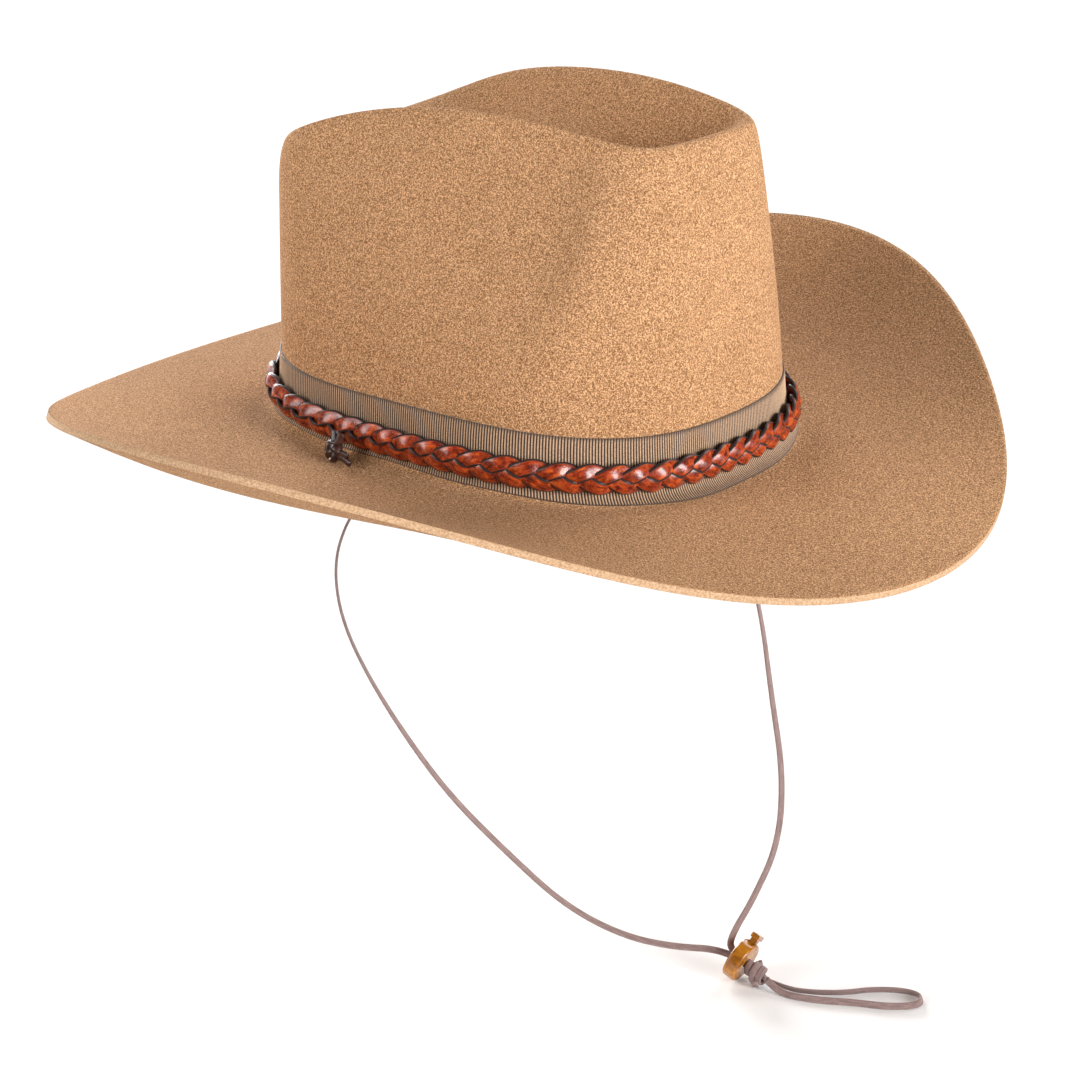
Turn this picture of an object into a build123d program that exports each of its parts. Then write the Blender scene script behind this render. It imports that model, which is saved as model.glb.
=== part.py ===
"""Felt cowboy hat: creased crown, ribbon, plaited leather band, sweatband, lining and chin lace.

Millimetres. +Z is up, the front of the hat is -Y and the wearer's left is +X.  The origin is the
centre of the head opening, on the line where the crown meets the brim.
"""
import os
from math import atan2, ceil, cos, degrees, exp, floor, hypot, pi, radians, sin, tan

from build123d import *

# ---------------------------------------------------------------- driving dimensions: felt
FELT_THICKNESS = 2.6
BAND_HALF_LENGTH = 100.0        # felt outside at the band line, front to back
BAND_HALF_WIDTH = 81.5          # felt outside at the band line, side to side
BAND_POWER = 2.7                # 2 is an ellipse, more is fuller at the corners
CORNER_LEAN = radians(12)       # how far the crown's corners lead the band's polar angle
RIBBON_HEIGHT = 24.5
SHOULDER_OUT = 6.0              # crown shoulder outside the crest line, at the back
SHOULDER_OUT_FRONT = 3.0
SHOULDER_DROP = 8.0
CREST_LIFT = 2.5                # control points stand above the crest that the spline reaches
WALL_BULGE = 1.3
PINCH_DEPTH = 7.5
PINCH_ANGLE = -16.0             # degrees in front of the ear
PINCH_FRONT_SPREAD = 15.0
PINCH_BACK_SPREAD = 32.0
PINCH_HEIGHT = 0.68             # share of the wall height
PINCH_HEIGHT_SPREAD = 0.33
PINCH_CRISPNESS = 1.6           # 1 fades evenly, more gives a flatter floor and a steeper rim
VALLEY_HEIGHT = 97.0            # bottom of the centre crease
BRIM_CURL_SIDE = 2.5            # power of the rise from band to edge, at the sides
BRIM_CURL_END = 1.4
BRIM_SHARES = (1.0, 0.86, 0.7, 0.5, 0.3, 0.14)
FOOT_STEPS = ((1.035, -0.2), (0.985, 2.0), (0.968, 10.0), (0.96, RIBBON_HEIGHT))
WALL_SHARES = (0.25, 0.5, 0.75, 1.0)
CREASE_SHARES = (0.84, 0.66, 0.46, 0.25, 0.1, 0.0)

FOOT_ROW = len(BRIM_SHARES)
WALL_ROW = FOOT_ROW + len(FOOT_STEPS)
CREST_ROW = WALL_ROW + len(WALL_SHARES)
TOP_ROW = CREST_ROW + len(CREASE_SHARES)
RING_POINTS = 48

# ---------------------------------------------------------------- driving dimensions: trimmings
RIBBON_THICKNESS = 0.6
RIBBON_GAP = 0.15
RIBBON_ROWS = (0.75, 1.3, 1.9, 2.4, 2.9)    # from the brim up the crown, after FOOT_ROW
SWEATBAND_TOP = 36.0
SWEATBAND_THICKNESS = 1.2
SWEATBAND_INSET = 4.3           # outside of the leather, inside the felt's outer face
REED_RADIUS = 0.9
REED_HEIGHT = -2.0
LINING_THICKNESS = 0.5
LINING_GAP = 2.2
LINING_SIDE_ROWS = (WALL_ROW + 0.9, CREST_ROW - 1.2)
LINING_TIP_ROWS = (CREST_ROW + 0.9, TOP_ROW - 1)
LINING_DROP = 3.4               # the tip cloth below the felt's inner face
LINING_TIP_THICKNESS = 0.7
BRAID_PERIODS = 18
BRAID_HEIGHT = 10.3             # middle of the plait above the band line
BRAID_SWING = 3.1
BRAID_WEAVE = 1.4
BRAID_STRAND_RADIUS = 1.05
BRAID_GAP = 0.55                # between the ribbon and the innermost lace
BRAID_FLARE = 1.6               # the ribbon's foot flares out under the plait's lower row
JOIN_TURN = radians(35)
JOIN_WIDTH = 11.0
JOIN_HEIGHT = 13.5
JOIN_THICKNESS = 0.6
JOIN_GAP = 0.45
JOIN_ROWS = (FOOT_ROW + 2.15, FOOT_ROW + 2.75)
TIE_RADIUS = 2.4                # knot that ties the plait's ends
TIE_WRAP_RADIUS = 0.9
TIE_OUT = 11.8                  # out from the crown's wall
TIE_HEIGHT = 4.6
TIE_TAIL_WIDTH = 1.6
KNOT_TURN = radians(156)
LACE_RADIUS = 1.3

# ---------------------------------------------------------------- driving dimensions: chin lace
FLOOR = -250.0                  # the lowest point of the hanging lace
LOCK_CENTRE = Vector(50.7, -65.0, FLOOR + 9.4)
LOCK_AXIS = Vector(0.08, -0.92, -0.383).normalized()
LOCK_PRESS_LINE = Vector(0.62, -0.25, 0.74)
LOCK_RADIUS = 9.0
LOCK_THICKNESS = 6.0
LOCK_EDGE = 1.0
LACE_PITCH = 2.8                # between the two laces inside the lock
PLUNGER_TRAVEL = 2.2
PLUNGER_WIDTH = 7.6
PLUNGER_THICKNESS = 3.0
PLUNGER_BOTTOM = -3.2
PLUNGER_SHOULDER = 5.4
PLUNGER_NECK_WIDTH = 3.2
PLUNGER_CAP_BASE = 10.6
PLUNGER_CAP_TOP = 12.9
PLUNGER_CAP_WIDTH = 8.0
POCKET_FLOOR = -7.0
SPRING_RADIUS = 1.1
SPRING_WIRE = 0.22
SPRING_TURNS = 4
SLIDE_CLEARANCE = 0.15
LACE_SIDE_RIGHT = 1             # which lane of the lock the wearer's right lace takes
STOP_RADIUS = 1.5
STOP_GAP = 1.6
KNOT_GAP = 0.8                  # between the lock and the knot below it
KNOT_LENGTH = 10.0
KNOT_RADIUS = 4.2
LOCK_LEAD = 4.0                 # straight stretch of the laces above the lock

LACE_ROUTE_RIGHT = [
    (-75, 6, -4), (-81, 10.5, -12), (-88, 16, -24), (-88, 23, -42), (-81.5, 27.5, -66),
    (-68.5, 29.5, -93), (-53, 25.5, -124), (-35, 18, -157), (-14, 6, -188), (6, -7, -216),
    (22, -24, -231), (36, -40, -237),
]
LACE_ROUTE_LEFT = [
    (75, 6, -4), (79, -4, -17), (84, -18, -37), (88.5, -34, -66), (88, -46, -100),
    (85, -54, -135), (83, -62, -168), (75, -66, -196), (61, -63, -218), (53, -59, -231),
]
LOOP_ROUTE = [
    (54.5, -86), (59, -96), (66.5, -106), (77, -114), (84.5, -125), (85, -133), (78, -136),
    (69, -127), (63, -114), (56.5, -104), (52, -94), (50, -85),
]


def mix(a, b, share):
    """Blend two numbers."""
    return a + (b - a) * share


def blend(a, b, share):
    """Blend two points."""
    return tuple(mix(p, q, share) for p, q in zip(a, b))


# ---------------------------------------------------------------- the felt's surface
def lean(turn):
    """Polar angle on the band and brim that belongs to a turn of the crown."""
    return turn - CORNER_LEAN * cos(turn)


def band_point(turn, scale=1.0, height=0.0):
    """The line where crown and brim meet, scaled in plan and raised."""
    a = lean(turn)
    c = abs(cos(a) / BAND_HALF_WIDTH) ** BAND_POWER
    s = abs(sin(a) / BAND_HALF_LENGTH) ** BAND_POWER
    r = scale * (c + s) ** (-1 / BAND_POWER)
    z = 1.1 * cos(2 * a) + 3.3 * sin(a) - 1.1 * sin(3 * a)
    return (r * cos(a), r * sin(a), z + height)


def edge_point(turn):
    """The brim's outer edge: a rounded square in plan, high at the sides, low in front."""
    a = lean(turn)
    r = 185.4 + 1.9 * cos(2 * a) + 4.4 * cos(4 * a) - 0.8 * sin(a) + 2.7 * sin(3 * a)
    z = 11.1 + 24.8 * cos(2 * a) + 0.7 * cos(4 * a) + 4.4 * sin(a) - 1.7 * sin(3 * a)
    return (r * cos(a), r * sin(a), z)


def crest_point(turn):
    """The crown's crest: a pear-shaped loop, widest behind the ears."""
    x = 50.2 * cos(turn) - 10.6 * cos(3 * turn) + 2.3 * cos(5 * turn)
    x += 8.1 * sin(2 * turn) - 3.2 * sin(4 * turn)
    y = -10.6 + 93.6 * sin(turn) + 3.2 * sin(3 * turn) - 12.0 * cos(2 * turn)
    z = 121.4 - 7.5 * sin(turn) + 8.1 * cos(2 * turn) + 3.1 * sin(3 * turn)
    return (x, y, z)


def shoulder_point(turn):
    """The crown's rounded shoulder, outside and below the crest."""
    x, y, z = crest_point(turn)
    out = mix(SHOULDER_OUT_FRONT, SHOULDER_OUT, (1 + sin(turn)) / 2)
    k = 1 + out / hypot(x, y)
    return (x * k, y * k, z - SHOULDER_DROP)


def pinch(turn, share):
    """Inward push of the two dents that fingers hold the crown by."""
    side = degrees(atan2(sin(turn), abs(cos(turn))))
    spread = PINCH_FRONT_SPREAD if side < PINCH_ANGLE else PINCH_BACK_SPREAD
    away = ((side - PINCH_ANGLE) / spread) ** 2 + ((share - PINCH_HEIGHT) / PINCH_HEIGHT_SPREAD) ** 2
    return PINCH_DEPTH * exp(-away ** PINCH_CRISPNESS)


def control_rows(turn):
    """Control points of one half-profile, from the brim's edge to the middle of the crease."""
    band, edge, crest = band_point(turn), edge_point(turn), crest_point(turn)
    curl = mix(BRIM_CURL_END, BRIM_CURL_SIDE, (1 + cos(2 * lean(turn))) / 2)
    rows = []
    for share in BRIM_SHARES:
        x, y, _ = blend(band, edge, share)
        rows.append((x, y, mix(band[2], edge[2], share ** curl)))
    rows += [band_point(turn, scale, height) for scale, height in FOOT_STEPS]
    low, shoulder = rows[-1], shoulder_point(turn)
    for share in WALL_SHARES:
        x, y, _ = blend(low, shoulder, share ** WALL_BULGE)
        dent = pinch(turn, share) * (1 if cos(turn) >= 0 else -1)
        rows.append((x - dent, y, mix(low[2], shoulder[2], share)))
    rows.append((crest[0], crest[1], crest[2] + CREST_LIFT))
    steep = 1.6 + 2.4 * sin(turn) ** 2
    for share in CREASE_SHARES:
        z = mix(VALLEY_HEIGHT, crest[2], share ** steep)
        rows.append((crest[0] * share, crest[1] * share, z))
    return rows


def felt_top(turn, row):
    """Point on the felt's outer face: a cubic B-spline through the control rows."""
    rows = control_rows(turn)
    before = tuple(2 * p - q for p, q in zip(rows[0], rows[1]))
    beyond = (-rows[-2][0], -rows[-2][1], rows[-2][2])
    rows = [before] + rows + [beyond]
    i = int(min(max(floor(row), 0), TOP_ROW - 1))
    u = row - i
    weights = ((1 - u) ** 3, 3 * u ** 3 - 6 * u ** 2 + 4, -3 * u ** 3 + 3 * u ** 2 + 3 * u + 1, u ** 3)
    return Vector(*[sum(w * rows[i + k][n] for k, w in enumerate(weights)) / 6 for n in range(3)])


def felt_point(turn, row, depth=0.0):
    """Point below (or, with a negative depth, above) the felt's outer face."""
    here = felt_top(turn, row)
    if depth == 0:
        return here
    step = 0.02
    along = felt_top(turn, row + step) - felt_top(turn, row - step)
    if row > TOP_ROW - 0.5:
        return here - Vector(0, 0, depth)
    around = felt_top(turn + step, row) - felt_top(turn - step, row)
    return here - around.cross(along).normalized() * depth


# ---------------------------------------------------------------- solids from rings
def ring_of(point_at, count=RING_POINTS):
    """Closed smooth wire through the points that point_at(turn) gives, even in the turn."""
    points = [Vector(*point_at(2 * pi * k / count)) for k in range(count)]
    marks = [k / count for k in range(count + 1)]
    return Wire([Edge.make_spline(points, periodic=True, parameters=marks)])


def felt_ring(row, depth=0.0):
    """Ring at one row of the felt, at a depth under its outer face."""
    return ring_of(lambda turn: felt_point(turn, row, depth))


def felt_tip(depth=0.0):
    """The middle of the crease, where the rings close."""
    return Vertex(*felt_point(0, TOP_ROW, depth))


def solid_from_skins(skins):
    """Close a list of ring lists: each is lofted smoothly and joins the next at its last ring."""
    faces = []
    for rings, ruled in skins:
        faces += Shell.make_loft(rings, ruled=ruled).faces()
    solid = Solid(Shell(faces))
    if solid.volume < 0:
        solid = Solid(Shell([-face for face in faces]))
    return solid


def wall_point(turn, height, inset):
    """Point on an upright wall inside (or, with a negative inset, outside) the crown's felt."""
    low, shoulder = band_point(turn, 0.962, RIBBON_HEIGHT), shoulder_point(turn)
    share = max(0.0, (height - RIBBON_HEIGHT) / (shoulder[2] - RIBBON_HEIGHT))
    x, y, _ = blend(low, shoulder, share ** WALL_BULGE)
    k = 1 - inset / hypot(x, y)
    return (x * k, y * k, low[2] - RIBBON_HEIGHT + height)


def wall_ring(height, inset):
    """Ring of the upright wall at one height."""
    return ring_of(lambda turn: wall_point(turn, height, inset))


def wall_shell(heights, inset, thickness):
    """A band of even thickness standing round the crown's wall."""
    outer = [wall_ring(h, inset) for h in heights]
    inner = [wall_ring(h, inset + thickness) for h in heights]
    return solid_from_skins([
        (outer, False),
        ([outer[-1], inner[-1]], True),
        (inner[::-1], False),
        ([inner[0], outer[0]], True),
    ])


# ---------------------------------------------------------------- felt, ribbon and lining
def felt_body():
    """Crown and brim, one piece of blocked felt."""
    rows = list(range(TOP_ROW))
    outer = [felt_ring(row) for row in rows] + [felt_tip()]
    inner = [felt_ring(row, FELT_THICKNESS) for row in rows] + [felt_tip(FELT_THICKNESS)]
    rim = [outer[0], inner[0]]
    return solid_from_skins([(outer, False), (rim, True), (inner, False)])


def ribbon_band():
    """Ribbed ribbon round the foot of the crown."""
    rows = [FOOT_ROW + k for k in RIBBON_ROWS]
    inner = [felt_ring(row, -RIBBON_GAP) for row in rows]
    outer = [felt_ring(row, -RIBBON_GAP - RIBBON_THICKNESS) for row in rows]
    return solid_from_skins([
        (inner, False),
        ([inner[-1], outer[-1]], True),
        (outer[::-1], False),
        ([outer[0], inner[0]], True),
    ])


def rows_between(first, last):
    """Row values about one apart, from first to last."""
    steps = ceil(last - first)
    return [mix(first, last, k / steps) for k in range(steps + 1)]


def lining_side():
    """Cloth strip inside the crown's wall."""
    near = FELT_THICKNESS + LINING_GAP
    rows = rows_between(*LINING_SIDE_ROWS)
    outer = [felt_ring(row, near) for row in rows]
    inner = [felt_ring(row, near + LINING_THICKNESS) for row in rows]
    return solid_from_skins([
        (outer, False),
        ([outer[-1], inner[-1]], True),
        (inner[::-1], False),
        ([inner[0], outer[0]], True),
    ])


def lining_tip():
    """Cloth that hangs just under the crown's top, sewn to the side strip by its edge."""
    def hung(row, drop):
        return ring_of(lambda turn: felt_point(turn, row, FELT_THICKNESS) - Vector(0, 0, drop))

    rows = rows_between(*LINING_TIP_ROWS)
    upper = [hung(row, LINING_DROP) for row in rows]
    lower = [hung(row, LINING_DROP + LINING_TIP_THICKNESS) for row in rows]
    tips = [felt_tip(FELT_THICKNESS + drop) for drop in (LINING_DROP, LINING_DROP + LINING_TIP_THICKNESS)]
    return solid_from_skins([
        (upper + [tips[0]], False), ([upper[0], lower[0]], True), (lower + [tips[1]], False)])


# ---------------------------------------------------------------- sweatband and its fittings
def sweatband():
    """Leather band that sits on the head."""
    heights = [REED_HEIGHT + REED_RADIUS, 12, RIBBON_HEIGHT, SWEATBAND_TOP]
    return wall_shell(heights, SWEATBAND_INSET, SWEATBAND_THICKNESS)


def round_ring(point_at, radius, count=RING_POINTS):
    """Closed ring of round section, skinned in an outer and an inner half."""
    def rim(angle):
        def at(turn):
            x, y, z = point_at(turn)
            k = 1 + radius * cos(angle) / hypot(x, y)
            return (x * k, y * k, z + radius * sin(angle))
        return ring_of(at, count)

    rims = [rim(pi * k / 4) for k in range(8)]
    return solid_from_skins([(rims[:5], False), (rims[4:] + rims[:1], False)])


def sweatband_reed():
    """Round plastic cord that keeps the sweatband's lower edge in shape."""
    middle = SWEATBAND_INSET + SWEATBAND_THICKNESS / 2
    return round_ring(lambda turn: wall_point(turn, REED_HEIGHT - 0.05, middle), REED_RADIUS)


def sweatband_bow():
    """Small flat bow sewn over the sweatband's join, at the back inside."""
    x, y, z = wall_point(pi / 2, 9.0, SWEATBAND_INSET + SWEATBAND_THICKNESS + 1.1)
    loop = Ellipse(4.6, 2.8) - Ellipse(3.4, 1.6)
    solids = []
    for side in (-1, 1):
        tilted = Plane(origin=(x + side * 6.3, y, z), z_dir=(0, -1, 0)) * loop
        solids.append(extrude(tilted, 0.8, both=True).solid())
    solids.append(Pos(x, y, z) * fillet(Box(3.0, 2.0, 4.2).edges(), 0.6).solid())
    return Compound(solids)


def ribbon_join():
    """Flat keeper of the same ribbon over its ends, on the wearer's left towards the back."""
    out = -RIBBON_GAP - RIBBON_THICKNESS - JOIN_GAP - JOIN_THICKNESS / 2
    low, high = (felt_point(JOIN_TURN, row, out) for row in JOIN_ROWS)
    near, far = (felt_point(JOIN_TURN + step, JOIN_ROWS[1], out) for step in (-0.05, 0.05))
    side = far - near
    frame = Plane(origin=(low + high) / 2, x_dir=side, z_dir=side.cross(high - low))
    plate = extrude(RectangleRounded(JOIN_WIDTH, JOIN_HEIGHT, 0.8), JOIN_THICKNESS / 2, both=True)
    return frame.location * plate.solid()


# ---------------------------------------------------------------- plaited leather band
def braid_point(turn, strand):
    """Middle of one lace of the three-lace plait."""
    phase = BRAID_PERIODS * turn + 2 * pi * strand / 3
    out = RIBBON_GAP + RIBBON_THICKNESS + BRAID_GAP + BRAID_WEAVE + BRAID_STRAND_RADIUS
    height = BRAID_HEIGHT + BRAID_SWING * sin(phase)
    x, y, z = wall_point(turn, height, -out - BRAID_FLARE - BRAID_WEAVE * sin(2 * phase))
    return (x, y, z)


def braid_strand(strand):
    """One lace, closed on itself round the crown."""
    return round_ring(lambda turn: braid_point(turn, strand), BRAID_STRAND_RADIUS, BRAID_PERIODS * 12)


def tie_frame():
    """Where the plait's tie hangs: x along the plait, z up."""
    x, y, z = wall_point(KNOT_TURN, TIE_HEIGHT, -TIE_OUT)
    return Plane(origin=(x, y, z), x_dir=(-y, x, 0), z_dir=(0, 0, 1))


def braid_knot():
    """Tie of the plait's ends: a thong wrapped round it, hanging just below the plait."""
    core = Solid.make_sphere(TIE_RADIUS, angle1=-90, angle2=90)
    wrap = Solid.make_torus(TIE_RADIUS, TIE_WRAP_RADIUS).rotate(Axis.X, 75)
    return tie_frame().location * (core + wrap).solid()


def braid_tail():
    """Two short cut ends beside the tie."""
    frame = tie_frame()
    tails = []
    for drop, length in ((-0.9, 8.0), (1.1, 5.5)):
        start = TIE_RADIUS + TIE_WRAP_RADIUS + 0.2
        tail = Pos(start + length / 2, drop, 0) * Box(length, TIE_TAIL_WIDTH, TIE_TAIL_WIDTH)
        tails.append(frame.location * fillet(tail.edges().filter_by(Axis.X), 0.4).solid())
    return Compound(tails)


# ---------------------------------------------------------------- chin lace
def lace_along(name, route):
    """Round lace along straight runs joined by the largest tangent arcs that the runs allow."""
    points = [Vector(*p) for p in route]
    runs = [b - a for a, b in zip(points, points[1:])]
    radii = []
    for a, b in zip(runs, runs[1:]):
        half_turn = radians(a.get_angle(b)) / 2
        radii.append(0.45 * min(a.length, b.length) / tan(half_turn))
    path = FilletPolyline(*points, radius=radii)
    lace = sweep(Plane(origin=points[0], z_dir=runs[0]) * Circle(LACE_RADIUS), path=path).solid()
    expected = pi * LACE_RADIUS ** 2 * path.length
    print(name, "radii", [round(r) for r in radii], "runs", [round(r.length) for r in runs])
    print(name, "length %.1f" % path.length, "volume / expected %.4f" % (lace.volume / expected))
    return lace


def lock_point(press, across, along):
    """Point in the lock's frame: towards the button, across the laces, along the laces."""
    return LOCK_FRAME.from_local_coords(Vector(press, across, along))


def lace_end(side):
    """Last points of a lace: into the lock, through it and up to the knot."""
    across = side * LACE_PITCH / 2
    entry = lock_point(0, across, -LOCK_THICKNESS / 2 - LOCK_LEAD)
    knot_face = lock_point(0, across, LOCK_THICKNESS / 2 + KNOT_GAP)
    return [tuple(entry), tuple(knot_face)]


def chin_lace_right():
    """From the wearer's right side of the head opening through the lock."""
    return lace_along("chin_lace_right", LACE_ROUTE_RIGHT + lace_end(LACE_SIDE_RIGHT))


def chin_lace_left():
    """From the wearer's left side of the head opening through the lock."""
    return lace_along("chin_lace_left", LACE_ROUTE_LEFT + lace_end(-LACE_SIDE_RIGHT))


def chin_loop():
    """The doubled end of the lace beyond the knot, lying on the surface below."""
    leaves_knot = LOCK_THICKNESS / 2 + KNOT_GAP + KNOT_LENGTH + 0.1
    start, end = (tuple(lock_point(0, side * LACE_PITCH / 2, leaves_knot)) for side in (-1, 1))
    route = [(x, y, FLOOR + LACE_RADIUS) for x, y in LOOP_ROUTE]
    return lace_along("chin_loop", [start] + route + [end])


def knot_frame():
    """Middle of the chin knot, z along the laces."""
    middle = lock_point(0, 0, LOCK_THICKNESS / 2 + KNOT_GAP + KNOT_LENGTH / 2)
    return Plane(origin=middle, x_dir=LOCK_FRAME.x_dir, z_dir=LOCK_AXIS)


def chin_knot():
    """Overhand knot that stops the lock from sliding off the lace."""
    profile = Spline((0, -KNOT_LENGTH / 2), (KNOT_RADIUS, 0), (0, KNOT_LENGTH / 2),
                     tangents=((1, 0), (-1, 0)))
    half = make_face([profile, Line((0, KNOT_LENGTH / 2), (0, -KNOT_LENGTH / 2))])
    ball = revolve(Plane.XZ * half, axis=Axis.Z)
    return knot_frame().location * ball.solid()


def lace_stop(side):
    """Knot of the lace's end, held between the sweatband and the felt."""
    x, y, z = LACE_ROUTE_LEFT[0]
    return Pos(side * (x + 0.9), y, z + STOP_GAP + STOP_RADIUS) * Solid.make_sphere(
        STOP_RADIUS, angle1=-90, angle2=90)


# ---------------------------------------------------------------- cord lock
def lock_body():
    """Round lock: a slot for the laces along its axis and a pocket for the button across it."""
    disc = Cylinder(LOCK_RADIUS, LOCK_THICKNESS)
    disc = fillet(disc.edges(), LOCK_EDGE)
    slot = extrude(SlotOverall(2 * LACE_RADIUS + LACE_PITCH + 0.6, 2 * LACE_RADIUS + 0.5, rotation=90),
                   LOCK_THICKNESS, both=True)
    width = PLUNGER_WIDTH + 2 * SLIDE_CLEARANCE
    height = PLUNGER_THICKNESS + 2 * SLIDE_CLEARANCE
    pocket_length = LOCK_RADIUS + 1 - POCKET_FLOOR
    pocket = Pos(POCKET_FLOOR + pocket_length / 2, 0, 0) * Box(pocket_length, width, height)
    return (disc - slot - pocket).solid()


def lock_plunger():
    """Sprung button: a window that the laces pass through, a neck and a flat cap."""
    body_length = PLUNGER_SHOULDER - PLUNGER_BOTTOM
    body = Pos(PLUNGER_BOTTOM + body_length / 2, 0, 0) * Box(body_length, PLUNGER_WIDTH, PLUNGER_THICKNESS)
    neck_length = PLUNGER_CAP_BASE - PLUNGER_SHOULDER
    neck = Pos(PLUNGER_SHOULDER + neck_length / 2, 0, 0)
    neck *= Box(neck_length, PLUNGER_NECK_WIDTH, PLUNGER_THICKNESS)
    cap_length = PLUNGER_CAP_TOP - PLUNGER_CAP_BASE
    cap = Box(cap_length, PLUNGER_CAP_WIDTH, PLUNGER_THICKNESS + 0.8)
    cap = Pos(PLUNGER_CAP_BASE + cap_length / 2, 0, 0) * fillet(cap.edges(), 0.5)
    window_low = -LACE_RADIUS - 0.2
    window_high = LACE_RADIUS + PLUNGER_TRAVEL + 0.2
    window = Pos((window_low + window_high) / 2, 0, 0) * Box(
        window_high - window_low, 2 * LACE_RADIUS + LACE_PITCH + 0.4, PLUNGER_THICKNESS + 1)
    return (body + neck + cap - window).solid()


def lock_spring():
    """Compression spring under the button."""
    length = PLUNGER_BOTTOM - POCKET_FLOOR - 2 * SPRING_WIRE - 0.1
    helix = Helix(pitch=length / SPRING_TURNS, height=length, radius=SPRING_RADIUS)
    wire = sweep(Plane(origin=helix @ 0, z_dir=helix % 0) * Circle(SPRING_WIRE), path=helix)
    wire = Rot(0, 90, 0) * wire
    return (Pos(POCKET_FLOOR + SPRING_WIRE + 0.05, 0, 0) * wire).solid()


# ---------------------------------------------------------------- the assembly
LOCK_FRAME = Plane(
    origin=LOCK_CENTRE,
    x_dir=LOCK_PRESS_LINE - LOCK_AXIS * LOCK_PRESS_LINE.dot(LOCK_AXIS),
    z_dir=LOCK_AXIS,
)


def in_lock(shape):
    """Move a piece from the lock's frame to the hat's."""
    return LOCK_FRAME.location * shape


def main():
    pieces = {
        "felt_body": felt_body(),
        "ribbon_band": ribbon_band(),
        "ribbon_join": ribbon_join(),
        "sweatband": sweatband(),
        "sweatband_reed": sweatband_reed(),
        "sweatband_bow": sweatband_bow(),
        "lining_side": lining_side(),
        "lining_tip": lining_tip(),
        "braid_strand_1": braid_strand(0),
        "braid_strand_2": braid_strand(1),
        "braid_strand_3": braid_strand(2),
        "braid_knot": braid_knot(),
        "braid_tail": braid_tail(),
        "lace_stop_right": lace_stop(-1),
        "lace_stop_left": lace_stop(1),
        "chin_lace_right": chin_lace_right(),
        "chin_lace_left": chin_lace_left(),
        "chin_knot": chin_knot(),
        "chin_loop": chin_loop(),
        "lock_body": in_lock(lock_body()),
        "lock_plunger": in_lock(lock_plunger()),
        "lock_spring": in_lock(lock_spring()),
    }
    os.makedirs("parts", exist_ok=True)
    for name, piece in pieces.items():
        piece.label = name
        export_step(piece, os.path.join("parts", name + ".step"))


main()
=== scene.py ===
"""The looks of a felt cowboy hat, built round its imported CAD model.

Shapes are worked out in millimetres with the formulas that the CAD uses, and meshes are written in
metres.  The hat's frame: +Z up, the front is -Y, the wearer's left is +X.
"""
from math import cos, pi, radians, sin

import bpy
import numpy as np
from mathutils import Matrix, Vector


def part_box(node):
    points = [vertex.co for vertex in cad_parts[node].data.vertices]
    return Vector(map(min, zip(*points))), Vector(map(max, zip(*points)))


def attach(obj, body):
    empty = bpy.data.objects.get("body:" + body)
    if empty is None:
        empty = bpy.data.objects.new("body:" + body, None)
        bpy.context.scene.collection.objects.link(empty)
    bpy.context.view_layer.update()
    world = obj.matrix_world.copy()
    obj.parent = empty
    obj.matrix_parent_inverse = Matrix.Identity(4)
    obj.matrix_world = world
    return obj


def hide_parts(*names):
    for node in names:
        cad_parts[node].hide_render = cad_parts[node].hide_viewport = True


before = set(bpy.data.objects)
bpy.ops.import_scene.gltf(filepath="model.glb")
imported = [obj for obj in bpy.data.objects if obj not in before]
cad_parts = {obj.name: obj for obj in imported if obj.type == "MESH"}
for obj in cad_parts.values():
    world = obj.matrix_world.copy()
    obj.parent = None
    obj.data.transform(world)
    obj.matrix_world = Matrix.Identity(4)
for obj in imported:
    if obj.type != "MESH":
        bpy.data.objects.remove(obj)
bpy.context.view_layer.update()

MM = 0.001

# ---------------------------------------------------------------- the felt's shape, as in the CAD
FELT_THICKNESS = 2.6
BAND_HALF_LENGTH = 100.0
BAND_HALF_WIDTH = 81.5
BAND_POWER = 2.7
CORNER_LEAN = radians(12)
RIBBON_HEIGHT = 24.5
SHOULDER_OUT = 6.0
SHOULDER_OUT_FRONT = 3.0
SHOULDER_DROP = 8.0
CREST_LIFT = 2.5
WALL_BULGE = 1.3
PINCH_DEPTH = 7.5
PINCH_ANGLE = -16.0
PINCH_FRONT_SPREAD = 15.0
PINCH_BACK_SPREAD = 32.0
PINCH_HEIGHT = 0.68
PINCH_HEIGHT_SPREAD = 0.33
PINCH_CRISPNESS = 1.6
VALLEY_HEIGHT = 97.0
BRIM_CURL_SIDE = 2.5
BRIM_CURL_END = 1.4
BRIM_SHARES = (1.0, 0.86, 0.7, 0.5, 0.3, 0.14)
FOOT_STEPS = ((1.035, -0.2), (0.985, 2.0), (0.968, 10.0), (0.96, RIBBON_HEIGHT))
WALL_SHARES = (0.25, 0.5, 0.75, 1.0)
CREASE_SHARES = (0.84, 0.66, 0.46, 0.25, 0.1, 0.0)
FOOT_ROW = len(BRIM_SHARES)
WALL_ROW = FOOT_ROW + len(FOOT_STEPS)
CREST_ROW = WALL_ROW + len(WALL_SHARES)
TOP_ROW = CREST_ROW + len(CREASE_SHARES)

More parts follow.
